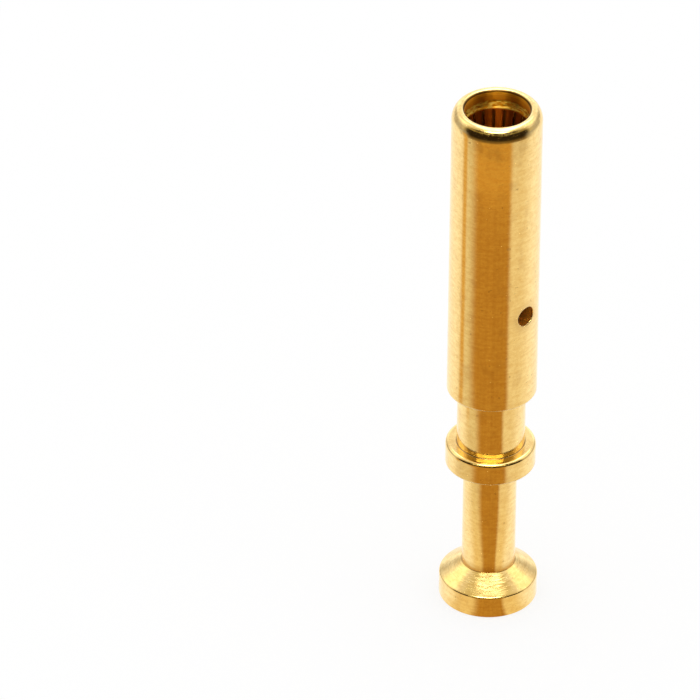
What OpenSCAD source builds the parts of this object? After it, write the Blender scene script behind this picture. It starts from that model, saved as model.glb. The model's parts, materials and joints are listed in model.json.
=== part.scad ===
// Crimp socket contact for a round power connector: a turned body with a slotted spring cage in its socket.
// Sizes are in millimetres. The axis is Z: the wire goes in at the bottom and the mating pin at the top.

/* [Socket] */

// Diameter of the mating pin
pin_d = 2.0; // [1.6:0.05:2.4]

// Radial room around the pin in the hole below the cage
pin_room = 0.15; // [0.08:0.01:0.18]

// Depth of the pin hole below the rim, without its drill point
socket_depth = 10.4; // [9.6:0.1:11.2]

// Depth below the rim of the step that the cage stands on
seat_depth = 8.0; // [7.2:0.1:8.4]

// Wall of the sleeve around the cage
sleeve_wall = 0.335; // [0.3:0.005:0.5]

// Length of the sleeve from its lower shoulder to the rim
sleeve_l = 12.75; // [12.2:0.05:14]

/* [Rim] */

// Axial thickness of the lip that keeps the cage in
lip_t = 0.45; // [0.3:0.01:0.6]

// How far the lip reaches in over the cage
lip_overhang = 0.16; // [0.12:0.005:0.18]

// Rounding of the lip's inside edge, where the pin comes in
mouth_round = 0.14; // [0.06:0.01:0.16]

// Width of the flat ring on top of the lip
rim_land = 0.015; // [0.01:0.005:0.08]

// Height of the rounded shoulder outside the lip
shoulder_h = 0.5; // [0.3:0.01:0.8]

/* [Spring cage] */

// Thickness of the sheet that the cage is rolled from
sheet_t = 0.1; // [0.08:0.01:0.12]

// How much the relaxed strips are tighter than the pin, on the radius
grip = 0.02; // [0.01:0.005:0.04]

// How far the strips bow in from the end rings
bow = 0.3; // [0.26:0.01:0.34]

// Part of the bow that lies in the unslotted lead next to each ring
lead_in = 0.08; // [0.04:0.01:0.12]

// Height of each plain end ring
ring_h = 0.27; // [0.2:0.01:0.45]

// Height of each unslotted lead
lead_h = 0.07; // [0.05:0.01:0.2]

// Unslotted root of the strips next to each lead
strip_root = 0.04; // [0.02:0.01:0.1]

// Length of the straight waist that touches the pin
waist_l = 1.4; // [0.8:0.1:2.4]

// Number of strips
strip_count = 18; // [12:1:20]

// Width of the slot between two strips, at the end rings
slot_w = 0.12; // [0.08:0.01:0.16]

/* [Neck and collar] */

// Diameter of the neck below the sleeve
neck_d = 2.63; // [2.4:0.01:3]

// Length of the neck
neck_l = 2.47; // [2:0.01:3.5]

// Diameter of the collar
collar_d = 3.48; // [3.2:0.01:4]

// Thickness of the collar
collar_h = 0.95; // [0.6:0.01:1.4]

// Rounding of the collar's top edge
collar_round = 0.14; // [0.06:0.01:0.16]

/* [Crimp barrel] */

// Diameter of the hole for the wire strands
wire_d = 1.4; // [1.1:0.05:1.6]

// Wall of the barrel that is squeezed onto the wire
barrel_wall = 0.335; // [0.25:0.005:0.45]

// Length of the barrel between the flange's cone and the collar
barrel_l = 4.62; // [3.8:0.02:6]

// Solid length left between the wire hole and the collar
barrel_stop = 0.3; // [0.2:0.05:0.6]

/* [Flange] */

// Diameter of the flange at the wire entry
flange_d = 3.8; // [3.4:0.02:4.4]

// Height of the flange's round wall
flange_h = 0.91; // [0.8:0.01:1.4]

// Height of the cone above the wall
cone_h = 0.6; // [0.4:0.01:1]

// Diameter of the funnel at the wire entry
funnel_d = 2.5; // [2:0.05:2.8]

/* [Cross holes] */

// Diameter of the vent hole in the sleeve
vent_d = 0.8; // [0.5:0.01:1]

// Distance from the cage's step down to the vent hole's edge
vent_gap = 0.26; // [0.15:0.01:0.5]

// Diameter of the sight hole in the barrel
sight_d = 0.8; // [0.5:0.05:0.9]

// Distance from the wire hole's end down to the sight hole's edge
sight_gap = 0.3; // [0.15:0.05:0.8]

/* [Fits and edges] */

// Radial clearance between the cage's rings and the sleeve
cage_clearance = 0.015; // [0.005:0.005:0.03]

// Clearance above and below the cage
cage_play = 0.02; // [0.01:0.01:0.05]

// Chamfer on the turned outside edges
edge_break = 0.06; // [0.02:0.01:0.1]

/* [Hidden] */

// Flats around a round surface
round_fn = 96;

// Steps along a curve of the profile
curve_steps = 10;

// Overlap of a cutting tool past the surface it cuts
cut = 0.5;

// Full point angle of the drills
drill_angle = 118;

// Radii of the cage, from the pin outward
waist_r = pin_d / 2 - grip;
ring_r = waist_r + bow;
cage_r = ring_r + sheet_t;

// Radii of the socket
seat_r = cage_r + cage_clearance;
pin_bore_r = pin_d / 2 + pin_room;
mouth_r = seat_r - lip_overhang;
sleeve_r = seat_r + sleeve_wall;
shoulder_w = sleeve_r - mouth_r - mouth_round - rim_land;

// Radii of the lower half
neck_r = neck_d / 2;
collar_r = collar_d / 2;
wire_r = wire_d / 2;
barrel_r = wire_r + barrel_wall;
flange_r = flange_d / 2;
funnel_r = funnel_d / 2;

// Heights of the turned steps
flange_z = flange_h;
barrel_z = flange_z + cone_h;
collar_z = barrel_z + barrel_l;
neck_z = collar_z + collar_h;
sleeve_z = neck_z + neck_l;
rim_z = sleeve_z + sleeve_l;

// Heights inside the socket
lip_z = rim_z - lip_t;
seat_z = rim_z - seat_depth;
vent_z = seat_z - vent_gap - vent_d / 2;

// Heights inside the barrel
wire_z = collar_z - barrel_stop;
sight_z = wire_z - sight_gap - sight_d / 2;

// Heights of the cage
cage_z = seat_z + cage_play;
cage_l = lip_z - cage_play - cage_z;
slot_z = ring_h + lead_h + strip_root;
slot_l = cage_l - 2 * slot_z;
arch_l = (cage_l - waist_l) / 2 - ring_h - lead_h;
slot_angle = 2 * asin(slot_w / 2 / ring_r);

// Points on a quarter of an ellipse from its side to its top; with a negative width it faces the axis.
function quarter(centre_r, centre_z, w, h) = [
    for (i = [0 : curve_steps])
    let (a = 90 * i / curve_steps)
    [centre_r + w * cos(a), centre_z + h * sin(a)]
];

// Inner radius of a bowed strip, where t runs from 0 at the waist to 1 at the lead.
function strip_r(t) = waist_r + (bow - lead_in) * t * t;

// Inner outline of the cage from its bottom edge to its top edge.
function cage_line() = concat(
    [[ring_r, 0], [ring_r, ring_h]],
    [for (i = [0 : curve_steps])
        let (t = 1 - i / curve_steps)
        [strip_r(t), ring_h + lead_h + arch_l * (1 - t)]],
    [for (i = [0 : curve_steps])
        let (t = i / curve_steps)
        [strip_r(t), cage_l - ring_h - lead_h - arch_l * (1 - t)]],
    [[ring_r, cage_l - ring_h], [ring_r, cage_l]]
);

// A drilled hole from height z, going up, with a pointed end.
module drilled_up(r, z, depth) {
    translate([0, 0, z])
    cylinder(r = r, h = depth, $fn = round_fn);
    translate([0, 0, z + depth])
    cylinder(r1 = r, r2 = 0, h = r / tan(drill_angle / 2), $fn = round_fn);
}

// The outside of the body as it leaves the lathe, before drilling.
module turned_blank() {
    rotate_extrude($fn = round_fn)
    polygon(concat(
        [
            [0, 0],
            [flange_r - edge_break, 0],
            [flange_r, edge_break],
            [flange_r, flange_z],
            [barrel_r, barrel_z],
            [barrel_r, collar_z],
            [collar_r - edge_break, collar_z],
            [collar_r, collar_z + edge_break],
        ],
        quarter(collar_r - collar_round, neck_z - collar_round, collar_round, collar_round),
        [
            [neck_r, neck_z],
            [neck_r, sleeve_z],
            [sleeve_r - edge_break, sleeve_z],
            [sleeve_r, sleeve_z + edge_break],
        ],
        quarter(sleeve_r - shoulder_w, rim_z - shoulder_h, shoulder_w, shoulder_h),
        [[0, rim_z]]
    ));
}

// The stepped socket: mouth, cage bore and pin hole, all from the top, with a rounded edge.
module socket_bore() {
    translate([0, 0, rim_z])
    rotate([180, 0, 0])
    drilled_up(pin_bore_r, 0, socket_depth);
    translate([0, 0, seat_z])
    cylinder(r = seat_r, h = lip_z - seat_z, $fn = round_fn);
    translate([0, 0, seat_z])
    cylinder(r = mouth_r, h = seat_depth + cut, $fn = round_fn);
    mouth_edge();
}

// The tool that rounds the inside edge of the lip.
module mouth_edge() {
    rotate_extrude($fn = round_fn)
    polygon(concat(
        [[0, rim_z - mouth_round]],
        quarter(mouth_r + mouth_round, rim_z - mouth_round, -mouth_round, mouth_round),
        [
            [mouth_r + mouth_round, rim_z + cut],
            [0, rim_z + cut],
        ]
    ));
}

// The wire hole with the funnel that guides the strands in.
module wire_bore() {
    drilled_up(wire_r, -cut, wire_z + cut);
    translate([0, 0, -cut])
    cylinder(r1 = funnel_r + cut, r2 = wire_r, h = funnel_r - wire_r + cut, $fn = round_fn);
}

// A hole through one wall, from the axis out along +X.
module cross_hole(d, z, reach) {
    translate([0, 0, z])
    rotate([0, 90, 0])
    cylinder(d = d, h = reach + cut, $fn = round_fn);
}

// One turned piece: sleeve, neck, collar, crimp barrel and flange.
module contact_body() {
    color([0.93, 0.72, 0.32])
    difference() {
        turned_blank();
        socket_bore();
        wire_bore();
        cross_hole(vent_d, vent_z, sleeve_r);
        rotate([0, 0, 180])
        cross_hole(sight_d, sight_z, barrel_r);
    }
}

// The rolled sheet before it is slotted.
module cage_shell() {
    inner = cage_line();
    outer = [for (i = [len(inner) - 1 : -1 : 0]) inner[i] + [sheet_t, 0]];
    rotate_extrude($fn = round_fn)
    polygon(concat(inner, outer));
}

// The slots that part the sheet into springy strips, each a sector seen from the axis.
module cage_slots() {
    for (i = [0 : strip_count - 1])
    rotate([0, 0, 360 * i / strip_count - slot_angle / 2])
    rotate_extrude(angle = slot_angle, $fn = round_fn)
    translate([waist_r - cut, slot_z])
    square([bow + sheet_t + 2 * cut, slot_l]);
}

// Spring cage: end rings joined by strips that bow in and grip the pin.
module spring_cage() {
    color([0.8, 0.5, 0.22])
    translate([0, 0, cage_z])
    difference() {
        cage_shell();
        cage_slots();
    }
}

contact_body();
spring_cage();
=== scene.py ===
# %% [markdown]
# # A crimp socket contact
# This contact is a turned, gold-plated part about 22 mm tall. A wire is crimped into its lower end, and a
# pin slides into its mouth, where a slotted cage of thin spring strips grips it. The lesson loads the CAD
# frame, builds the two pieces again as fine meshes with rounded edges, and lights them in a small tent.
# Everything is in metres and in the CAD frame: Z is the axis, the mouth is at the top.

# %% Load the frame
import json
import math

import bmesh
import bpy
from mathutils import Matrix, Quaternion, Vector

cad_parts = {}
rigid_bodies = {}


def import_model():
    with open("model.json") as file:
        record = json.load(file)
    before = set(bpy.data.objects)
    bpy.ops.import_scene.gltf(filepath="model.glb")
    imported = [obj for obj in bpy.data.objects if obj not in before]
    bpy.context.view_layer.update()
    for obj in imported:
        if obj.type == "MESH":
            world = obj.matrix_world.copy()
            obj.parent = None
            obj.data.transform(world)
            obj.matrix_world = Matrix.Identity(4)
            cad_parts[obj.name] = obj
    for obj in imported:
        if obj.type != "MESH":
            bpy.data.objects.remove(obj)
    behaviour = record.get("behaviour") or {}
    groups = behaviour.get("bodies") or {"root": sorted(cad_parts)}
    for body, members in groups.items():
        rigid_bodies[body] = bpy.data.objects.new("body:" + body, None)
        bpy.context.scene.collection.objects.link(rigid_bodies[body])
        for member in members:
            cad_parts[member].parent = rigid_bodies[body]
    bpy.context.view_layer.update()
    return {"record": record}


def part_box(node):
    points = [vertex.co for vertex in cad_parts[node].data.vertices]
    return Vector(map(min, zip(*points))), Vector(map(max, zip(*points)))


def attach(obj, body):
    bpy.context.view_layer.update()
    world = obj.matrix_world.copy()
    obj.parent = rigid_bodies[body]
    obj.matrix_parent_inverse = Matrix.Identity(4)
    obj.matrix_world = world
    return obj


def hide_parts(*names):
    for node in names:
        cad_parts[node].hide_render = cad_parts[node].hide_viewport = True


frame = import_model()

# %% [markdown]
# ## Sizes
# The frame knows the sizes that other parts depend on: the box of each node and the mounts in the record.
# Those are read from it. The lengths between the turned steps are inner matters of this part, so they are
# named here, in millimetres, and added up from the bottom. A print compares the sum with the CAD box.

# %% Sizes from the frame and the turned steps
MM = 0.001
mounts = {mount["name"]: mount["dims"] for mount in frame["record"]["mounts"]}
_, body_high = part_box("contact_body")
cage_low, cage_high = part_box("spring_cage")

FLANGE_R = body_high.x
RIM_Z = body_high.z
SLEEVE_R = mounts["sleeve_outside"]["r_mm"] * MM
WIRE_R = mounts["wire_hole"]["r_mm"] * MM
WAIST_R = mounts["mating_socket"]["r_mm"] * MM
WAIST_L = mounts["mating_socket"]["length_mm"] * MM
CAGE_R = cage_high.x
CAGE_Z = cage_low.z
CAGE_L = cage_high.z - cage_low.z

BARREL_R = 1.035 * MM
COLLAR_R = 1.74 * MM
NECK_R = 1.315 * MM
FUNNEL_R = 1.25 * MM

FLANGE_Z = 0.91 * MM
CONE_H = 0.6 * MM
BARREL_L = 4.62 * MM
COLLAR_H = 0.95 * MM
NECK_L = 2.47 * MM
SLEEVE_L = 12.75 * MM
BARREL_Z = FLANGE_Z + CONE_H
COLLAR_Z = BARREL_Z + BARREL_L
NECK_Z = COLLAR_Z + COLLAR_H
SLEEVE_Z = NECK_Z + NECK_L
print("steps end", round((RIM_Z - SLEEVE_Z - SLEEVE_L) / MM, 4), "mm below the CAD rim")

# %% [markdown]
# The socket is drilled in steps: a mouth under the rolled-in lip, a wide bore for the cage with a step that
# the cage stands on, and a narrower hole for the tip of the pin. Both blind holes end in a drill point.

# %% Sizes of the two blind holes and the two cross holes
CAGE_PLAY = 0.02 * MM
CAGE_CLEARANCE = 0.015 * MM
LIP_OVERHANG = 0.16 * MM
SOCKET_DEPTH = 10.4 * MM
BARREL_STOP = 0.3 * MM
VENT_GAP = 0.26 * MM
SIGHT_GAP = 0.3 * MM
DRILL_DEGREES = 118

SEAT_R = CAGE_R + CAGE_CLEARANCE
SEAT_Z = CAGE_Z - CAGE_PLAY
LIP_Z = CAGE_Z + CAGE_L + CAGE_PLAY
MOUTH_R = SEAT_R - LIP_OVERHANG
PIN_BORE_R = 1.15 * MM
SOCKET_Z = RIM_Z - SOCKET_DEPTH
WIRE_Z = COLLAR_Z - BARREL_STOP
DRILL_SLOPE = 1 / math.tan(math.radians(DRILL_DEGREES / 2))
HOLE_R = 0.4 * MM
VENT_Z = SEAT_Z - VENT_GAP - HOLE_R
SIGHT_Z = WIRE_Z - SIGHT_GAP - HOLE_R
print("vent hole at", round(VENT_Z / MM, 2), "mm, sight hole at", round(SIGHT_Z / MM, 2), "mm")

# %% [markdown]
# ## A rounded outline
# No real edge is perfectly sharp, and on polished metal the tiny roundings are what shows: each one draws a
# thin bright or dark line. A bevel modifier could add them, but a turned part is simpler as an outline that
# is rounded first and spun later. Beside each arc stands one extra ring, so that smooth shading on the long
# straight walls isn't pulled by the arc's normals.

# %% Round the corners of an outline
ARC_STEPS = 6
GUARD = 0.4


def rounded(corners):
    """Points along (radius, height, rounding) corners; a rounding is an arc between two guard points."""
    line = [Vector(corners[0][:2])]
    for before, corner, after in zip(corners, corners[1:], corners[2:]):
        spot, fillet = Vector(corner[:2]), corner[2]
        if not fillet:
            line.append(spot)
            continue
        into = (spot - Vector(before[:2])).normalized()
        out = (Vector(after[:2]) - spot).normalized()
        turn = into.angle(out)
        reach = fillet * math.tan(turn / 2)
        centre = spot + (out - into).normalized() * fillet / math.cos(turn / 2)
        start, end = spot - into * reach - centre, spot + out * reach - centre
        line.append(centre + start - into * fillet * GUARD)
        for step in range(ARC_STEPS + 1):
            share = step / ARC_STEPS
            arm = start * math.sin((1 - share) * turn) + end * math.sin(share * turn)
            line.append(centre + arm / math.sin(turn))
        line.append(centre + end + out * fillet * GUARD)
    return line + [Vector(corners[-1][:2])]


print("each rounding takes", ARC_STEPS, "steps")

# %% [markdown]
# The shoulder outside the lip is higher than it is wide, because rolling the lip in stretches the metal
# there. A quarter of an ellipse gives that form, and the line of the sleeve runs into it without a corner.
# The same quarter, turned towards the axis, rounds the lip's inside edge for the pin.

# %% Quarters of an ellipse for the rolled lip
QUARTER_STEPS = 12
MOUTH_ROUND = 0.14 * MM
RIM_LAND = 0.015 * MM
SHOULDER_H = 0.5 * MM
SHOULDER_W = SLEEVE_R - MOUTH_R - MOUTH_ROUND - RIM_LAND


def quarter(centre_r, centre_z, width, height):
    """Corners along a quarter of an ellipse, from its side to its top; a negative width faces the axis."""
    bends = [math.pi / 2 * step / QUARTER_STEPS for step in range(QUARTER_STEPS + 1)]
    return [(centre_r + width * math.cos(a), centre_z + height * math.sin(a), 0) for a in bends]


mouth_edge = quarter(MOUTH_R + MOUTH_ROUND, RIM_Z - MOUTH_ROUND, -MOUTH_ROUND, MOUTH_ROUND)
shoulder = quarter(SLEEVE_R - SHOULDER_W, RIM_Z - SHOULDER_H, SHOULDER_W, SHOULDER_H)
print("the shoulder is", round(SHOULDER_W / MM, 3), "mm wide and", round(SHOULDER_H / MM, 3), "mm high")

# %% The outline of the body, from the point of the socket to the point of the wire hole
BORE_EDGE = 0.02 * MM
TOOL_NOSE = 0.03 * MM
LOWER_EDGE = 0.08 * MM
COLLAR_ROUND = 0.14 * MM
CONE_EDGE = 0.1 * MM
FOOT_EDGE = 0.06 * MM
FUNNEL_EDGE = 0.04 * MM
FUNNEL_END = 0.05 * MM

body_corners = [
    (0, SOCKET_Z - PIN_BORE_R * DRILL_SLOPE, 0),
    (PIN_BORE_R, SOCKET_Z, TOOL_NOSE),
    (PIN_BORE_R, SEAT_Z, BORE_EDGE),
    (SEAT_R, SEAT_Z, BORE_EDGE),
    (SEAT_R, LIP_Z, BORE_EDGE),
    (MOUTH_R, LIP_Z, BORE_EDGE),
    *mouth_edge,
    *reversed(shoulder),
    (SLEEVE_R, SLEEVE_Z, LOWER_EDGE),
    (NECK_R, SLEEVE_Z, TOOL_NOSE),
    (NECK_R, NECK_Z, TOOL_NOSE),
    (COLLAR_R, NECK_Z, COLLAR_ROUND),
    (COLLAR_R, COLLAR_Z, LOWER_EDGE),
    (BARREL_R, COLLAR_Z, TOOL_NOSE),
    (BARREL_R, BARREL_Z, TOOL_NOSE),
    (FLANGE_R, FLANGE_Z, CONE_EDGE),
    (FLANGE_R, 0, FOOT_EDGE),
    (FUNNEL_R, 0, FUNNEL_EDGE),
    (WIRE_R, FUNNEL_R - WIRE_R, FUNNEL_END),
    (WIRE_R, WIRE_Z, TOOL_NOSE),
    (0, WIRE_Z + WIRE_R * DRILL_SLOPE, 0),
]
body_line = rounded(body_corners)
print("outline of the body:", len(body_line), "points")

# %% [markdown]
# ## Spin the outline, with windows for the cross holes
# A boolean could drill the vent and sight holes, but it leaves long thin faces that spoil a mirror finish.
# Instead the spun grid leaves a rectangular window open around each hole. Rings of vertices then shrink from
# the window's rectangle to the hole's circle, all of them lying exactly on the round wall.

# %% Rows for the windows
COLUMNS = 240
TINY = 1e-7
WINDOW_HALF = 0.58 * MM
WINDOW_ROWS = 12


def add_rows(line, radius, middle):
    """Puts evenly spaced points into the straight wall of that radius, around the height of a hole."""
    heights = [middle - WINDOW_HALF + 2 * WINDOW_HALF * k / WINDOW_ROWS for k in range(WINDOW_ROWS + 1)]
    for k, (a, b) in enumerate(zip(line, line[1:])):
        on_wall = abs(a.x - radius) < TINY and abs(b.x - radius) < TINY
        if on_wall and min(a.y, b.y) < heights[0] and max(a.y, b.y) > heights[-1]:
            rows = [Vector((radius, height)) for height in heights]
            return line[: k + 1] + (rows if b.y > a.y else rows[::-1]) + line[k + 1 :]
    raise ValueError("no straight wall of that radius is long enough for the hole")


for radius, middle in ((PIN_BORE_R, VENT_Z), (SLEEVE_R, VENT_Z), (BARREL_R, SIGHT_Z), (WIRE_R, SIGHT_Z)):
    body_line = add_rows(body_line, radius, middle)
print("outline with window rows:", len(body_line), "points")

# %% Spin a line into a grid of vertices


def spin(mesh, line):
    """Rows of vertices round the Z axis; a point on the axis is one vertex that its whole row shares."""
    grid = []
    for point in line:
        if point.x < TINY:
            grid.append([mesh.verts.new((0, 0, point.y))] * COLUMNS)
            continue
        turns = [2 * math.pi * column / COLUMNS for column in range(COLUMNS)]
        spots = [(point.x * math.cos(a), point.x * math.sin(a), point.y) for a in turns]
        grid.append([mesh.verts.new(spot) for spot in spots])
    return grid


def skin(mesh, grid, windows):
    """Faces between the rows, apart from the cells that lie in a window."""
    for row, (lower, upper) in enumerate(zip(grid, grid[1:])):
        for column in range(COLUMNS):
            if any(row in rows and (column - first) % COLUMNS < width for rows, first, width in windows):
                continue
            beside = (column + 1) % COLUMNS
            corners = [lower[column], lower[beside], upper[beside], upper[column]]
            mesh.faces.new(list(dict.fromkeys(corners)))


body_mesh = bmesh.new()
body_grid = spin(body_mesh, body_line)
print("grid of", len(body_grid), "by", COLUMNS, "vertices")

# %% [markdown]
# A hole is bridged in four stretches: over the outer wall from the window to the hole's edge, round the
# small fillet of that edge, through the wall, and over the inner wall to the inner window. One function
# walks the window's border, always from its lowest row, and another bridges two rings of the same length.

# %% Walk and bridge the rings around a hole
SHRINK_STEPS = 5


def window(line, radius, middle, side, half_columns):
    """Rows, first column and width of the window at that height; side is +1 towards +X and -1 away."""
    near = [k for k, point in enumerate(line) if abs(point.x - radius) < TINY]
    rows = [k for k in near if abs(line[k].y - middle) < WINDOW_HALF + TINY]
    first = (0 if side > 0 else COLUMNS // 2) - half_columns
    return range(rows[0], rows[-1]), first % COLUMNS, 2 * half_columns


def border(grid, rows, first, width):
    """The window's border vertices in order, once round, from its lowest row."""
    columns = [(first + k) % COLUMNS for k in range(width + 1)]
    levels = sorted(range(rows[0], rows[-1] + 2), key=lambda row: grid[row][first].co.z)
    ring = [grid[levels[0]][c] for c in columns]
    ring += [grid[row][columns[-1]] for row in levels[1:-1]]
    ring += [grid[levels[-1]][c] for c in reversed(columns)]
    return ring + [grid[row][columns[0]] for row in reversed(levels[1:-1])]


def bridge(mesh, ring, other):
    """Quads between two closed rings of the same length."""
    for k in range(len(ring)):
        mesh.faces.new((ring[k - 1], ring[k], other[k], other[k - 1]))


def shrink(mesh, ring, edge, radius, side):
    """Bridges a window's border to the hole's edge, over the round wall; edge holds (across, height)."""
    last = ring
    for step in range(1, SHRINK_STEPS + 1):
        share = step / SHRINK_STEPS
        fresh = []
        for vertex, (across, height) in zip(ring, edge):
            y = vertex.co.y + (across - vertex.co.y) * share
            z = vertex.co.z + (height - vertex.co.z) * share
            fresh.append(mesh.verts.new((side * math.sqrt(radius**2 - y**2), y, z)))
        bridge(mesh, last, fresh)
        last = fresh
    return last


print("each window shrinks to its hole in", SHRINK_STEPS, "rings")

# %% Drill the cross holes
HOLE_EDGE = 0.04 * MM


def drill(mesh, grid, outer, inner, outer_r, inner_r, middle, side):
    """A round hole along X from the outer window to the inner one, with a rounded outer edge."""
    outside, inside = border(grid, *outer), border(grid, *inner)
    angles = [math.atan2(vertex.co.z - middle, vertex.co.y) for vertex in outside]

    def circle(radius):
        return [(radius * math.cos(a), middle + radius * math.sin(a)) for a in angles]

    last = shrink(mesh, outside, circle(HOLE_R + HOLE_EDGE), outer_r, side)
    for step in range(1, ARC_STEPS + 1):
        bend = math.pi / 2 * step / ARC_STEPS
        sink = HOLE_EDGE * (1 - math.cos(bend))
        fresh = []
        for y, z in circle(HOLE_R + HOLE_EDGE * (1 - math.sin(bend))):
            fresh.append(mesh.verts.new((side * (math.sqrt(outer_r**2 - y**2) - sink), y, z)))
        bridge(mesh, last, fresh)
        last = fresh
    bridge(mesh, last, shrink(mesh, inside, circle(HOLE_R), inner_r, side))


VENT_HALF = 18
SIGHT_HALF = 32
vent_outer = window(body_line, SLEEVE_R, VENT_Z, 1, VENT_HALF)
vent_inner = window(body_line, PIN_BORE_R, VENT_Z, 1, VENT_HALF)
sight_outer = window(body_line, BARREL_R, SIGHT_Z, -1, SIGHT_HALF)
sight_inner = window(body_line, WIRE_R, SIGHT_Z, -1, SIGHT_HALF)
skin(body_mesh, body_grid, [vent_outer, vent_inner, sight_outer, sight_inner])
drill(body_mesh, body_grid, vent_outer, vent_inner, SLEEVE_R, PIN_BORE_R, VENT_Z, 1)
drill(body_mesh, body_grid, sight_outer, sight_inner, BARREL_R, WIRE_R, SIGHT_Z, -1)
print("body mesh with holes:", len(body_mesh.faces), "faces")

# %% [markdown]
# One function finishes both pieces. It smooths the faces, keeps an edge sharp where the faces beside it
# turn by more than 35 degrees, and lets the piece stand for its CAD solid. The rolling tool leaves a faint
# edge halfway round the shoulder. The faces turn too little there, so its height is given as a crease.

# %% Make the body
SHARP_ANGLE = math.radians(35)


def finish_piece(mesh, name, node, crease=None):
    """Turns a bmesh into a piece that stands for one CAD node; crease is the height of a sharp edge."""
    bmesh.ops.delete(mesh, geom=[v for v in mesh.verts if not v.link_faces], context="VERTS")
    bmesh.ops.recalc_face_normals(mesh, faces=mesh.faces)
    for face in mesh.faces:
        face.smooth = True
    for edge in mesh.edges:
        creased = crease and all(abs(vertex.co.z - crease) < TINY for vertex in edge.verts)
        edge.smooth = not creased and edge.calc_face_angle(0) < SHARP_ANGLE
    open_edges = sum(not edge.is_manifold for edge in mesh.edges)
    data = bpy.data.meshes.new(name)
    mesh.to_mesh(data)
    mesh.free()
    piece = bpy.data.objects.new(name, data)
    bpy.context.scene.collection.objects.link(piece)
    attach(piece, "root")
    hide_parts(node)
    print(name, "has", len(data.polygons), "faces and", open_edges, "open edges")
    return piece


roll_edge = shoulder[QUARTER_STEPS // 2][1]
body = finish_piece(body_mesh, "turned_body", "contact_body", roll_edge)

# %% [markdown]
# ## The spring cage
# The cage starts as a flat strip of thin sheet with a row of slots punched in it. It is rolled into a tube,
# and the strips between the slots are bowed inwards. An array of bent strips would do, but strips and end
# rings are one sheet, so a grid that simply leaves out the cells of the slots keeps it in one piece.

# %% The outline of the sheet
SHEET = 0.1 * MM
RING_R = CAGE_R - SHEET
RING_H = 0.27 * MM
LEAD_H = 0.07 * MM
LEAD_IN = 0.08 * MM
STRIP_ROOT = 0.04 * MM
ARCH_STEPS = 12
ARCH_Z = RING_H + LEAD_H
ARCH_L = (CAGE_L - WAIST_L) / 2 - ARCH_Z


def strip_radius(share):
    """Inner radius of a strip; share is 0 at the waist and 1 where the strip leaves the lead."""
    return WAIST_R + (RING_R - WAIST_R - LEAD_IN) * share**2


shares = [1, 1 - STRIP_ROOT / ARCH_L] + [1 - (k + 1) / ARCH_STEPS for k in range(ARCH_STEPS)]
half_line = [(RING_R, 0), (RING_R, RING_H)]
half_line += [(strip_radius(share), ARCH_Z + ARCH_L * (1 - share)) for share in shares]
cage_line = half_line + [(r, CAGE_L - z) for r, z in reversed(half_line)]
print("the strips bow in by", round((RING_R - WAIST_R) / MM, 3), "mm")

# %% Columns of the rolled sheet, each with its turn and whether it lies in a slot
STRIPS = 18
STRIP_COLUMNS = 8
SLOT_COLUMNS = 2
SLOT_W = 0.12 * MM
SLOT_Z = ARCH_Z + STRIP_ROOT

pitch = 2 * math.pi / STRIPS
slot_turn = 2 * math.asin(SLOT_W / 2 / RING_R)
strip_turn = pitch - slot_turn
sheet_columns = []
for strip in range(STRIPS):
    start = strip * pitch - slot_turn / 2
    sheet_columns += [(start + slot_turn * k / SLOT_COLUMNS, True) for k in range(SLOT_COLUMNS)]
    start += slot_turn
    sheet_columns += [(start + strip_turn * k / STRIP_COLUMNS, False) for k in range(STRIP_COLUMNS)]
print(STRIPS, "strips in", len(sheet_columns), "columns")

# %% [markdown]
# Each cell of sheet gets an inner and an outer face. Wherever its neighbour is missing, at a slot or at an
# end, a small wall joins the two sides, so the mesh is closed without any special case.

# %% Roll the sheet and leave the slots open
cage_mesh = bmesh.new()


def sheet_side(offset):
    """Vertices of one side of the sheet, row by row."""
    side = []
    for r, z in cage_line:
        r += offset
        spots = [(r * math.cos(a), r * math.sin(a), CAGE_Z + z) for a, _ in sheet_columns]
        side.append([cage_mesh.verts.new(spot) for spot in spots])
    return side


def is_metal(row, column):
    """True for a cell of sheet, False for a slot and for what lies beyond the ends."""
    if not 0 <= row < len(cage_line) - 1:
        return False
    middle = (cage_line[row][1] + cage_line[row + 1][1]) / 2
    in_slot_rows = SLOT_Z < middle < CAGE_L - SLOT_Z
    return not (in_slot_rows and sheet_columns[column][1])


inner, outer = sheet_side(0), sheet_side(SHEET)
for row in range(len(cage_line) - 1):
    for column in range(len(sheet_columns)):
        if not is_metal(row, column):
            continue
        beside = (column + 1) % len(sheet_columns)
        for side in (inner, outer):
            below, above = side[row], side[row + 1]
            cage_mesh.faces.new((below[column], below[beside], above[beside], above[column]))
        borders = [
            ((row - 1, column), (row, column), (row, beside)),
            ((row + 1, column), (row + 1, column), (row + 1, beside)),
            ((row, column - 1), (row, column), (row + 1, column)),
            ((row, beside), (row, beside), (row + 1, beside)),
        ]
        for neighbour, (r0, c0), (r1, c1) in borders:
            if not is_metal(*neighbour):
                cage_mesh.faces.new((inner[r0][c0], inner[r1][c1], outer[r1][c1], outer[r0][c0]))
cage = finish_piece(cage_mesh, "spring_strips", "spring_cage")

# %% [markdown]
# Punched edges are slightly rounded by the die and by the plating, so a small bevel lets the strips' edges
# catch a line of light. A modifier is enough here, because nothing else depends on these edges.

# %% Break the edges of the sheet
SHEET_EDGE = 0.012 * MM
edge_bevel = cage.modifiers.new("broken edges", "BEVEL")
edge_bevel.width = SHEET_EDGE
edge_bevel.segments = 2
edge_bevel.limit_method = "ANGLE"
edge_bevel.angle_limit = SHARP_ANGLE
edge_bevel.harden_normals = True
print("bevel of", round(SHEET_EDGE / MM, 3), "mm on the strips")

# %% [markdown]
# ## Shader sums as Python
# A finish is a recipe of masks, so it reads best as a formula. The small class below wraps one socket of a
# node tree. Adding or multiplying two of them adds a Math node, and the method node makes any other kind.


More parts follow.
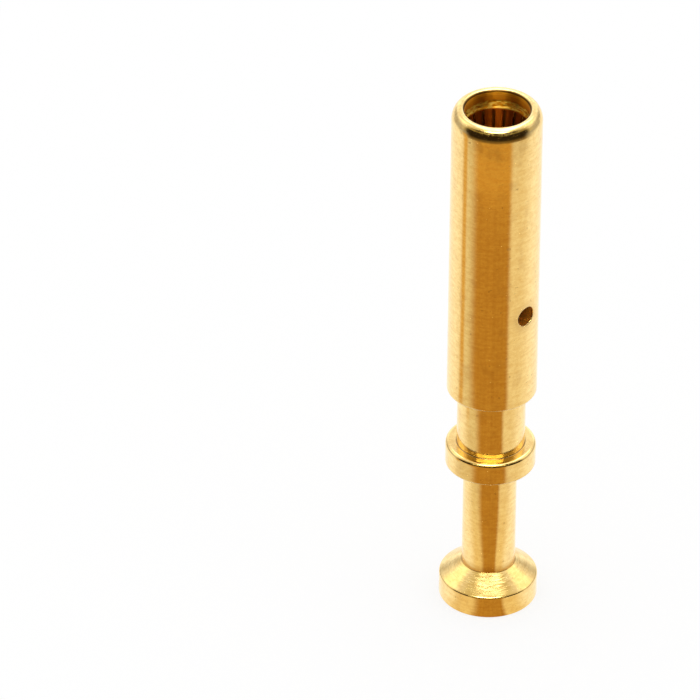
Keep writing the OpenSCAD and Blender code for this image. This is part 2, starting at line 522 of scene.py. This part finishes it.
# %% A socket that can be added and multiplied
class Tone:
    """One output socket of a node tree; without a socket, the tree itself, as the start of a recipe."""

    def __init__(self, tree, socket=None):
        self.tree = tree
        self.socket = socket

    def node(self, kind, settings=None, inputs=None, output=0):
        """Adds a node, sets its settings and then its inputs, and returns one of its outputs."""
        made = self.tree.nodes.new(kind)
        for name, value in (settings or {}).items():
            setattr(made, name, value)
        for name, value in (inputs or {}).items():
            self.feed(made.inputs[name], value)
        return Tone(self.tree, made.outputs[output])

    def feed(self, socket, value):
        """Links a tone to a socket, or sets the socket's own value."""
        if isinstance(value, Tone):
            self.tree.links.new(value.socket, socket)
        else:
            socket.default_value = value

    def sum(self, operation, first, second):
        """One Math node on two values."""
        return self.node("ShaderNodeMath", {"operation": operation}, {0: first, 1: second})

    def __add__(self, other):
        return self.sum("ADD", self, other)

    def __radd__(self, other):
        return self.sum("ADD", other, self)

    def __sub__(self, other):
        return self.sum("SUBTRACT", self, other)

    def __rsub__(self, other):
        return self.sum("SUBTRACT", other, self)

    def __mul__(self, other):
        return self.sum("MULTIPLY", self, other)

    def __rmul__(self, other):
        return self.sum("MULTIPLY", other, self)

    def __truediv__(self, other):
        return self.sum("DIVIDE", self, other)

    def __rtruediv__(self, other):
        return self.sum("DIVIDE", other, self)

    def __pow__(self, other):
        return self.sum("POWER", self, other)

    def between(self, low, high, start=0.0, end=1.0):
        """A soft step from start, where this value is low, to end, where it is high."""
        step = {"Value": self, "From Min": low, "From Max": high, "To Min": start, "To Max": end}
        return self.node("ShaderNodeMapRange", {"interpolation_type": "SMOOTHSTEP"}, step)

    def mix(self, first, second):
        """A colour between two others, with this value as the share of the second."""
        ends = {"Factor": self, "A": first, "B": second}
        return self.node("ShaderNodeMix", {"data_type": "RGBA"}, ends, "Result")

    def noise(self, detail=2.0):
        """Noise from 0 to 1 at this place, with one grain per unit."""
        grain = {"Vector": self, "Scale": 1.0, "Detail": detail}
        return self.node("ShaderNodeTexNoise", None, grain, "Fac")


print("shader sums are ready")

# %% [markdown]
# ## Turning marks
# A lathe leaves fine rings: on a wall they lie one above the other, on a flat face one inside the other.
# The two numbers that both have in common are the radius and the height, so a noise that reads only those
# two gives rings everywhere at once. The bores keep their rings. On the outside the cleaning after the
# lathe breaks them up into short streaks, which come from a noise that is squeezed along the axis.


# %% Places on the metal
class Place:
    """The coordinates of a point of a metal piece, as tones, and noises that follow them."""

    def __init__(self, start):
        self.start = start
        self.spot = start.node("ShaderNodeTexCoord", None, None, "Object")
        axes = [start.node("ShaderNodeSeparateXYZ", None, {0: self.spot}, axis) for axis in "XYZ"]
        self.x, self.y, self.z = axes
        self.radius = (self.x * self.x + self.y * self.y) ** 0.5

    def grains(self, across, along, detail=2.0):
        """Noise with grains of that width across the axis and that height along it."""
        squeeze = {0: self.spot, 1: Vector((1 / across, 1 / across, 1 / along))}
        squeezed = self.start.node("ShaderNodeVectorMath", {"operation": "MULTIPLY"}, squeeze)
        return squeezed.noise(detail)

    def rings(self, spacing):
        """Noise that changes only with radius and height, with about one ring per spacing."""
        turned = {"X": self.radius * (1 / spacing), "Y": self.z * (1 / spacing)}
        return self.start.node("ShaderNodeCombineXYZ", None, turned).noise()


def new_metal(name):
    """A metal material with its shader, and the places on it."""
    material = bpy.data.materials.new(name)
    material.use_nodes = True
    shader = material.node_tree.nodes["Principled BSDF"]
    shader.inputs["Metallic"].default_value = 1.0
    return material, shader, Place(Tone(material.node_tree))


def bumped(place, relief):
    """The normal of a surface with that relief, a height in millimetres."""
    bump = {"Strength": 1.0, "Distance": MM, "Height": relief}
    return place.start.node("ShaderNodeBump", None, bump, "Normal")


print("places and rings are ready")

# %% [markdown]
# ## Gold plate
# The plating is thin and bright, so it shows every mark of the turned metal below: short streaks, a slow
# swell that bends the reflections, faint stains and a few specks. Faces that look up were cut by the side
# of the tool and are coarser. The cone is cut slightly hollow, and dashes from the tool make it sparkle.
# Plating fluid creeps out of the vent hole and dries around it, which leaves a darker stain there. The
# foot of the barrel, where it meets the cone, is painted darker as shade, and so is the corner above the
# collar. Deburring leaves the lower edges of sleeve and collar matt, and a pale line painted along them
# stands for their highlight. A painted map could hold all this, but masks made from radius, height and
# noise need no unwrapping and stay sharp at any distance.

# %% Marks on the gold plate
WALL_MARGIN = 0.07 * MM


def bores(place):
    """1 inside the socket, the wire hole and the cross holes, 0 on the polished outside."""
    below_lip = 1 - place.z.between(LIP_Z - 0.05 * MM, LIP_Z + 0.03 * MM)
    socket_r = below_lip.between(0, 1, MOUTH_R + WALL_MARGIN, SLEEVE_R - WALL_MARGIN)
    socket = place.z.between(SLEEVE_Z + 0.8 * MM, SLEEVE_Z + 1.2 * MM) * socket_r
    wire_hole = place.z.between(COLLAR_Z, NECK_Z, BARREL_R - WALL_MARGIN, 0)
    return 1 - (place.radius - place.start.sum("MAXIMUM", wire_hole, socket)).between(-0.03 * MM, 0.02 * MM)


def vent_halo(place):
    """1 at the edge of the vent hole, fading out over almost half a millimetre."""
    hole = {0: place.spot, 1: Vector((SLEEVE_R, 0, VENT_Z))}
    away = place.start.node("ShaderNodeVectorMath", {"operation": "DISTANCE"}, hole, "Value")
    return 1 - away.between(HOLE_R, HOLE_R + 0.45 * MM)


def collar_corner_shade(place):
    """1 in the corner between neck and collar, where shade is painted in."""
    away = ((place.radius - NECK_R) ** 2 + (place.z - NECK_Z) ** 2) ** 0.5
    return 1 - away.between(0.015 * MM, 0.045 * MM)


def barrel_foot_shade(place):
    """1 at the foot of the barrel, fading out up its wall, where shade is painted into the corner."""
    wall = 1 - place.radius.between(BARREL_R + 0.01 * MM, BARREL_R + 0.04 * MM)
    return wall * (1 - place.z.between(BARREL_Z, BARREL_Z + 0.4 * MM))


def lower_edge(place, height):
    """1 on the outer edge that begins at that height, on the sleeve or on the collar."""
    above = place.z.between(height + 0.05 * MM, height + LOWER_EDGE)
    outer = place.radius.between(NECK_R + 0.2 * MM, NECK_R + 0.25 * MM)
    return outer * place.z.between(height - 0.02 * MM, height) * (1 - above)


def cone_climb(place):
    """0 at the flange's edge and below it, 1 at the top of the cone and above it."""
    climb = {"Value": place.z, "From Min": FLANGE_Z, "From Max": BARREL_Z}
    return place.start.node("ShaderNodeMapRange", None, climb)


def looks_up(place):
    """1 on faces that look up, 0 on walls."""
    normal = place.start.node("ShaderNodeNewGeometry", None, None, "Normal")
    return place.start.node("ShaderNodeSeparateXYZ", None, {0: normal}, "Z").between(0.3, 0.6)


print("bores, vent halo, seam, barrel foot, lower edges, cone and upper faces are masks now")

# %% [markdown]
# Boring leaves grooves that run round the hole. Grooved metal stretches a reflection across its grooves,
# here along the axis, so the far side of the mouth catches the lamp in front while its flanks stay darker.
# A shader with strong anisotropy does that, with the direction turned by a quarter from round the axis to
# along it.

# %% Grooved metal
ACROSS_GROOVES = 0.25


def grooved(place, colour, roughness, normal, shine=0.95):
    """A shader for metal with grooves round the axis; what isn't shine scatters the light evenly."""
    metal = {"Base Color": colour, "Metallic": shine, "Roughness": roughness, "Normal": normal}
    grooves = {"Anisotropic": 1.0, "Anisotropic Rotation": ACROSS_GROOVES, "Specular IOR Level": 0.0}
    return place.start.node("ShaderNodeBsdfPrincipled", None, {**metal, **grooves}, "BSDF")


print("grooves turn the reflection by", 360 * ACROSS_GROOVES, "degrees")

# %% The polished outside
DARK_GOLD = (0.86, 0.59, 0.225, 1)
LIGHT_GOLD = (1.0, 0.76, 0.335, 1)
STAINED_GOLD = (0.72, 0.47, 0.19, 1)
SPECK_AND_SHADE_GOLD = (0.4, 0.24, 0.09, 1)
CUT_GOLD = (0.7, 0.46, 0.15, 1)
ROOT_SHADE_GOLD = (0.5, 0.26, 0.05, 1)
EDGE_HIGHLIGHT_GOLD = (1.0, 0.86, 0.6, 1)


def mottled(place):
    """Fine, even noise that both the outside and the bores use."""
    return place.grains(0.15 * MM, 0.13 * MM)


def polished_outside(place, shader):
    """Bright gold over turning marks, on the shader that the material came with."""
    mottle = mottled(place)
    streaks = place.grains(0.8 * MM, 0.13 * MM, 3.0)
    stains = place.grains(0.5 * MM, 0.8 * MM, 3.0).between(0.52, 0.75)
    specks = place.grains(0.16 * MM, 0.14 * MM, 0.0).between(0.79, 0.84)
    dashes = place.grains(0.3 * MM, 0.045 * MM, 1.0)
    swell = place.grains(1.5 * MM, 2.2 * MM, 1.0)
    halo = vent_halo(place) * mottle.between(0.2, 0.6)
    edges = lower_edge(place, SLEEVE_Z) + lower_edge(place, COLLAR_Z)
    rim = place.z.between(RIM_Z - 0.6 * MM, RIM_Z - 0.4 * MM)
    upper = looks_up(place) * (1 - 0.8 * rim)
    climb = cone_climb(place)
    cone = upper * climb.between(0.15, 0.5) * (1 - place.z.between(BARREL_Z + 0.5 * MM, COLLAR_Z))

    colour = (streaks * 0.5 + mottle * 0.5).between(0.3, 0.7).mix(DARK_GOLD, LIGHT_GOLD)
    colour = (stains * 0.35 + halo * 0.4).mix(colour, STAINED_GOLD)
    colour = (dashes.between(0.48, 0.6) * cone * 0.3).mix(colour, CUT_GOLD)
    # Painted shade at the foot of the barrel, in the corner where it meets the cone.
    colour = (barrel_foot_shade(place) * 0.7).mix(colour, ROOT_SHADE_GOLD)
    # A painted highlight: a pale line along the lower edges of sleeve and collar; their roughness is real.
    colour = edges.mix(colour, EDGE_HIGHLIGHT_GOLD)
    # Real specks, and painted shade in the corner between neck and collar.
    colour = (specks * 0.3 + collar_corner_shade(place) * 0.8).mix(colour, SPECK_AND_SHADE_GOLD)
    roughness = 0.08 + 0.1 * streaks + 0.06 * stains + 0.15 * halo + 0.1 * specks + 0.04 * rim + 0.4 * edges
    relief = streaks * (0.0007 + 0.0015 * upper) + (dashes - 0.5) * (0.0004 + 0.001 * upper + 0.005 * cone)
    relief = relief + mottle * 0.0003 + swell * 0.01 - climb * (0.018 + 0.014 * climb)
    finish = {"Base Color": colour, "Roughness": roughness, "Normal": bumped(place, relief)}
    for name, value in finish.items():
        place.start.feed(shader.inputs[name], value)
    return Tone(place.start.tree, shader.outputs[0])


print("the outside runs from", DARK_GOLD[:3], "to", LIGHT_GOLD[:3])

# %% [markdown]
# The mouth under the rim is bored and plated, with grooves. Its colours are painted redder and darker than
# the outside gold, for the deeper colour of repeated reflections and for shade in the mouth, with a darker
# band painted low on the lip's wall and a painted dark line at the lip's edge. Below the lip the walls are
# left as drilled, so most of the light is scattered there and the holes look matt; their dark brown is
# painted shade.

# %% The bores
BORE_GOLD = (0.9, 0.41, 0.03, 1)
GROOVE_AND_SHADE_GOLD = (0.6, 0.2, 0.006, 1)
DEEP_SHADE_GOLD = (0.46, 0.16, 0.014, 1)
DARK_REFLECTION_EDGE = (0.13, 0.05, 0.004, 1)
GROOVE_SPACING = 0.12 * MM


def bored_inside(place):
    """Grooved gold in the mouth, and matt walls below the lip, with colours painted darker as shade."""
    grooves = place.rings(GROOVE_SPACING)
    lip = place.z.between(LIP_Z - 0.05 * MM, LIP_Z)
    lip_foot_shade = place.z.between(LIP_Z + 0.08 * MM, LIP_Z + 0.24 * MM)
    lip_edge = place.z.between(RIM_Z - 0.8 * MOUTH_ROUND, RIM_Z - 0.5 * MOUTH_ROUND)
    # Bore colours painted redder and darker than the outside gold, for repeated reflections and shade.
    colour = grooves.between(0.35, 0.65).mix(GROOVE_AND_SHADE_GOLD, BORE_GOLD)
    # Painted shade: a darker band low on the lip's wall.
    colour = (1 - lip_foot_shade).mix(colour, GROOVE_AND_SHADE_GOLD)
    # Painted shade: dark brown walls below the lip.
    colour = (1 - lip).mix(colour, DEEP_SHADE_GOLD)
    # A painted dark line at the lip's edge stands for a dark reflection in its rounding.
    colour = lip_edge.mix(colour, DARK_REFLECTION_EDGE)
    roughness = 0.2 + 0.24 * lip + 0.1 * grooves
    normal = bumped(place, (grooves * 0.006 + mottled(place) * 0.004) * lip)
    return grooved(place, colour, roughness, normal, 0.3 + 0.65 * lip)


print("grooves stand about", round(GROOVE_SPACING / MM, 2), "mm apart")

# %% The whole finish of the body


def gold_plate():
    """Polished outside, and grooved or matt inside the bores."""
    material, shader, place = new_metal("gold plate")
    finishes = {0: bores(place), 1: polished_outside(place, shader), 2: bored_inside(place)}
    whole = place.start.node("ShaderNodeMixShader", None, finishes)
    place.start.feed(material.node_tree.nodes["Material Output"].inputs["Surface"], whole)
    print(material.name, "has", len(material.node_tree.nodes), "nodes")
    return material


body.data.materials.append(gold_plate())

# %% [markdown]
# ## Spring alloy
# The cage is stamped from a copper spring alloy and only flashed with gold, so it is redder and duller than
# the body; its colours are also painted much darker, as shade deep in the mouth. Rolling leaves fine lines
# along the strips. The end rings were pressed home with a punch, which left them hammered: painted glints
# in the colour and flat hollows in the relief make them sparkle in the mouth.

# %% The finish of the cage
GLINT_SPRING = (1.0, 0.68, 0.12, 1)
RING_SPRING = (0.75, 0.3, 0.012, 1)
STRIP_SPRING = (0.33, 0.07, 0.003, 1)
DULL_SPRING = (0.2, 0.036, 0.002, 1)


def spring_alloy():
    """Dull, reddish metal painted dark as shade, with rolling lines, and hammered end rings with painted
    glints.
    """
    material, shader, place = new_metal("spring alloy")
    lines = place.grains(0.05 * MM, 1.2 * MM)
    dirt = place.grains(0.25 * MM, 0.6 * MM, 3.0).between(0.5, 0.75)
    hammered = place.grains(0.35 * MM, 0.08 * MM, 1.0)
    end_rings = place.radius.between(RING_R - LEAD_IN, RING_R - 0.3 * LEAD_IN)
    # The strip colours are painted much darker than the alloy, as shade deep in the mouth.
    colour = (lines.between(0.35, 0.65) * 0.6).mix(STRIP_SPRING, DULL_SPRING)
    colour = (dirt * 0.5).mix(colour, DULL_SPRING)
    # Painted glints: bright spots in the colour of the end rings.
    painted_glints = place.grains(0.22 * MM, 0.07 * MM, 1.0).between(0.44, 0.56)
    colour = end_rings.mix(colour, painted_glints.mix(RING_SPRING, GLINT_SPRING))
    roughness = 0.4 + 0.1 * lines + 0.1 * dirt + 0.05 * end_rings
    relief = lines * 0.0006 + hammered * (0.003 + 0.037 * end_rings)
    sheet = grooved(place, colour, roughness, bumped(place, relief))
    place.start.feed(material.node_tree.nodes["Material Output"].inputs["Surface"], sheet)
    material.node_tree.nodes.remove(shader)
    print(material.name, "has", len(material.node_tree.nodes), "nodes")
    return material


cage.data.materials.append(spring_alloy())

# %% [markdown]
# ## Floor
# The contact stands on a plain white sheet, which keeps the soft shadow at the foot. Polished metal shows
# its surroundings more than its own colour, so what mirror rays find on the sheet matters as much as the
# metal. Small parts are often photographed on a sheet that ends towards the camera. For mirror rays the
# sheet therefore glows with a painted set: white paper at the sides, the brown table top in front, and the
# dark room beyond it, with painted shade where paper and table grow dim far away. They alone find this
# set: everything else sees the plain sheet. The sheet lies a hair below the part, so that no two faces
# share the height 0.

# %% Directions seen from the camera's side
VIEW_TURN = math.radians(43.0)
to_camera = Vector((math.sin(VIEW_TURN), -math.cos(VIEW_TURN), 0))
to_right = Vector((math.cos(VIEW_TURN), math.sin(VIEW_TURN), 0))


def right_and_front(start, spot):
    """How far a place or ray reaches to the right, and how far towards the camera's side."""
    dot = {"operation": "DOT_PRODUCT"}
    ways = (to_right, to_camera)
    return [start.node("ShaderNodeVectorMath", dot, {0: spot, 1: way}, "Value") for way in ways]


def side_angle(start, spot):
    """Angle of a place or ray round the axis in degrees: 0 towards the camera, positive to the right."""
    right, front = right_and_front(start, spot)
    return start.sum("ARCTAN2", right, front) * math.degrees(1)


print("the camera looks from", [round(x, 3) for x in to_camera])

# %% The colours that mirror rays find on the sheet
BRIGHT_PAPER = (1.12, 1.1, 1.06, 1)
LEFT_PAPER = (0.84, 0.75, 0.55, 1)
RIGHT_PAPER = (0.93, 0.83, 0.63, 1)
NEAR_PAPER = (0.94, 0.77, 0.46, 1)
TABLE = (0.49, 0.25, 0.045, 1)
LIT_TABLE = (0.57, 0.305, 0.06, 1)
FAR_TABLE = (0.76, 0.43, 0.092, 1)
# Painted shade: paper and table grow dim towards the far edge of the set.
DIM_EDGE = (0.2, 0.13, 0.045, 1)
FOLD = (0.76, 0.47, 0.13, 1)
ROOM = (0.028, 0.018, 0.008, 1)
GREY_CLOTH = (0.55, 0.53, 0.52, 1)
FOOT_REACH = (2.2 * MM, 8 * MM)
EDGE_REACH = (35 * MM, 47 * MM)


def sheet_in_mirror(start):
    """White paper at the sides, a fold on the left, the table top in front and the room beyond it."""
    spot = start.node("ShaderNodeTexCoord", None, None, "Object")
    reach = start.node("ShaderNodeVectorMath", {"operation": "LENGTH"}, {0: spot}, "Value")
    angle = side_angle(start, spot) / reach.between(*FOOT_REACH, 0.62, 1)
    aside = start.sum("ABSOLUTE", angle, 0)
    left_end = reach.between(*FOOT_REACH, -22, -34) + reach.between(11 * MM, 19 * MM, 0, -12)
    table = (angle - left_end).between(-22, 6) * (1 - angle.between(32, 45))
    boards = start.node("ShaderNodeCombineXYZ", None, {"X": angle / 5, "Y": reach / (60 * MM)}).noise()
    fold = angle.between(-92, -84) * (1 - angle.between(-78, -73)) * reach.between(12 * MM, 16 * MM)

    colour = angle.between(-10, 10).mix(LEFT_PAPER, RIGHT_PAPER)
    colour = reach.between(3 * MM, 10 * MM).mix(NEAR_PAPER, colour)
    colour = reach.between(*EDGE_REACH).mix(colour, DIM_EDGE)
    colour = aside.between(62, 112).mix(colour, BRIGHT_PAPER)
    colour = (fold * 0.95).mix(colour, FOLD)
    wood = boards.between(0.3, 0.7).mix(TABLE, LIT_TABLE)
    wood = reach.between(32.2 * MM, 33.4 * MM).mix(wood, FAR_TABLE)
    wood = reach.between(*EDGE_REACH).mix(wood, DIM_EDGE)
    colour = table.mix(colour, wood)
    beyond = aside.between(66, 90).mix(ROOM, GREY_CLOTH)
    beyond = aside.between(120, 145).mix(beyond, BRIGHT_PAPER)
    return reach.between(46 * MM, 130 * MM).mix(colour, beyond)


print("table, paper and room are ready")

# %% The white sheet
FLOOR_SIZE = 3.0
HAIR = 0.005 * MM
WHITE = (1, 1, 1, 1)

floor_data = bpy.data.meshes.new("white_sheet")
corner = FLOOR_SIZE / 2
floor_corners = [(x * corner, y * corner, -HAIR) for x, y in ((-1, -1), (1, -1), (1, 1), (-1, 1))]
floor_data.from_pydata(floor_corners, [], [(0, 1, 2, 3)])
floor = bpy.data.objects.new("white_sheet", floor_data)
bpy.context.scene.collection.objects.link(floor)
print("floor", FLOOR_SIZE, "m wide")

# %% [markdown]
# A bright paper still renders a little grey near the contact, where the contact takes away some of the sky.
# Light Path tells which ray asks: for the camera, most of the paper is replaced by plain white, and the
# rest keeps the soft shadow at the foot. For mirror rays all of it is replaced by the set.

# %% The paper for each kind of ray
SHADOW_LEFT = 0.2
paper = bpy.data.materials.new("white paper")
paper.use_nodes = True
plain_paper = paper.node_tree.nodes["Principled BSDF"]
plain_paper.inputs["Base Color"].default_value = WHITE
plain_paper.inputs["Roughness"].default_value = 1.0
plain_paper.inputs["Specular IOR Level"].default_value = 0.0
sheet = Tone(paper.node_tree)
for_camera = sheet.node("ShaderNodeLightPath", None, None, "Is Camera Ray")
for_mirror = sheet.node("ShaderNodeLightPath", None, None, "Is Glossy Ray")
white = sheet.node("ShaderNodeEmission", None, {"Color": WHITE})
mirrored = sheet.node("ShaderNodeEmission", None, {"Color": sheet_in_mirror(sheet)})
lit_paper = Tone(paper.node_tree, plain_paper.outputs[0])
seen = sheet.node("ShaderNodeMixShader", None, {0: for_camera * (1 - SHADOW_LEFT), 1: lit_paper, 2: white})
seen = sheet.node("ShaderNodeMixShader", None, {0: for_mirror, 1: seen, 2: mirrored})
sheet.feed(paper.node_tree.nodes["Material Output"].inputs["Surface"], seen)
floor_data.materials.append(paper)
print("paper has", len(paper.node_tree.nodes), "nodes")

# %% [markdown]
# ## Light tent
# Above the sheet hangs white cloth, grey towards the horizon. A lamp with a bright core hangs over the
# contact, others stand at the sides and at the back, and a small hot one in front lights the far wall of
# the mouth. The opening for the camera is the dark room, with a bright gap in it. An area lamp for each
# would do too, but the whole tent as one world gives mirror rays every direction at once, and plain white
# to everything else.

# %% The colours that mirror rays find in the tent
CLOTH = (0.98, 0.95, 0.92, 1)
WARM_CLOTH = (0.74, 0.66, 0.42, 1)
SIDE_LAMP = (1.5, 1.5, 1.25, 1)
BACK_LAMP = (1.3, 1.35, 1.4, 1)
TOP_LAMP = (1.7, 1.7, 1.5, 1)
LAMP_CORE = (3.5, 3.5, 3.5, 1)
HOT_LAMP = (14, 13.4, 10.5, 1)
GAP = (3.0, 2.7, 1.35, 1)
SIDE_GAP = (0.5, 0.4, 0.16, 1)


def tent_in_mirror(sky):
    """White cloth with lamps, and the dark opening for the camera."""
    ray = sky.node("ShaderNodeTexCoord", None, None, "Generated")
    up = sky.node("ShaderNodeSeparateXYZ", None, {0: ray}, "Z")
    rise = sky.sum("ARCSINE", up, 0) * math.degrees(1)
    angle = side_angle(sky, ray)
    aside = sky.sum("ABSOLUTE", angle, 0)
    right, front = right_and_front(sky, ray)
    ahead = sky.sum("MAXIMUM", front, 0) ** 2
    off_lamp = 7.7 * (right - 0.05) ** 2 + 20 * ahead

    side_lamps = aside.between(98, 108) * (1 - aside.between(126, 140)) * rise.between(26, 34)
    colour = (side_lamps * (1 - rise.between(50, 58))).mix(CLOTH, SIDE_LAMP)
    colour = (1 - rise.between(12, 27)).mix(colour, GREY_CLOTH)
    back_lamp = aside.between(140, 160) * rise.between(-4, 0) * (1 - rise.between(27, 33))
    colour = back_lamp.mix(colour, BACK_LAMP)
    colour = (1 - aside.between(80, 104)).mix(colour, WARM_CLOTH)
    opening = 1 - aside.between(76, 90)
    opening_top = aside.between(50, 84, 57, 38)
    colour = (opening * (1 - (rise - opening_top).between(-4, 4))).mix(colour, ROOM)
    gap = opening * rise.between(30.5, 32.5) * (1 - rise.between(36.5, 38.5))
    colour = gap.mix(colour, SIDE_GAP)
    front_gap = angle.between(-50, -44) * (1 - angle.between(40, 46)) * gap
    colour = front_gap.mix(colour, GAP)
    top_lamp = up.between(0.62, 0.72) * (1 - off_lamp.between(0.85, 1.15))
    colour = top_lamp.mix(colour, TOP_LAMP)
    colour = (top_lamp * (1 - (off_lamp + 25 * ahead).between(0.4, 0.7))).mix(colour, LAMP_CORE)
    hot_lamp = rise.between(57, 59) * (1 - rise.between(67, 69)) * (1 - aside.between(26, 54))
    return hot_lamp.mix(colour, HOT_LAMP)


print("cloth, lamps and opening are ready")

# %% The world as a tent
world = bpy.data.worlds.new("tent")
bpy.context.scene.world = world
world.use_nodes = True
background = world.node_tree.nodes["Background"]
background.inputs["Strength"].default_value = 1.0
world.cycles.sampling_method = "NONE"
sky = Tone(world.node_tree)
mirror_ray = sky.node("ShaderNodeLightPath", None, None, "Is Glossy Ray")
sky.feed(background.inputs["Color"], mirror_ray.mix(WHITE, tent_in_mirror(sky)))
print("tent has", len(world.node_tree.nodes), "nodes")

# %% [markdown]
# ## Camera
# The photograph looks down at the contact from about 35 degrees, from far away, so its edges are almost
# parallel. The camera stands on that line and aims beside the contact, which puts the contact right of the
# middle without any lens shift.

# %% The camera
FRAME_PIXELS = 700
FOCAL_PIXELS = 10420
VIEW_RISE = math.radians(34.58)
VIEW_DISTANCE = 398.0 * MM
VIEW_HEIGHT = 11.0 * MM
AIM_LEFT = 5.442 * MM
AIM_UP = 0.104 * MM
VIEW_ROLL = math.radians(0.626)
SENSOR = 36.0

camera_data = bpy.data.cameras.new("camera")
camera_data.sensor_width = SENSOR
camera_data.lens = SENSOR * FOCAL_PIXELS / FRAME_PIXELS
camera_data.clip_start = VIEW_DISTANCE / 10
camera_data.clip_end = VIEW_DISTANCE * 10
camera = bpy.data.objects.new("camera", camera_data)
bpy.context.scene.collection.objects.link(camera)
bpy.context.scene.camera = camera
centre = Vector((0, 0, VIEW_HEIGHT))
to_eye = to_camera * math.cos(VIEW_RISE) + Vector((0, 0, math.sin(VIEW_RISE)))
to_top = to_eye.cross(to_right)
camera.location = centre + to_eye * VIEW_DISTANCE
aim = centre - to_right * AIM_LEFT + to_top * AIM_UP
camera.rotation_mode = "QUATERNION"
look = (aim - camera.location).to_track_quat("-Z", "Y")
camera.rotation_quaternion = look @ Quaternion((0, 0, 1), VIEW_ROLL)
bpy.context.scene.view_settings.view_transform = "Standard"
print("lens", round(camera_data.lens), "mm, from", round(VIEW_DISTANCE / MM), "mm away")
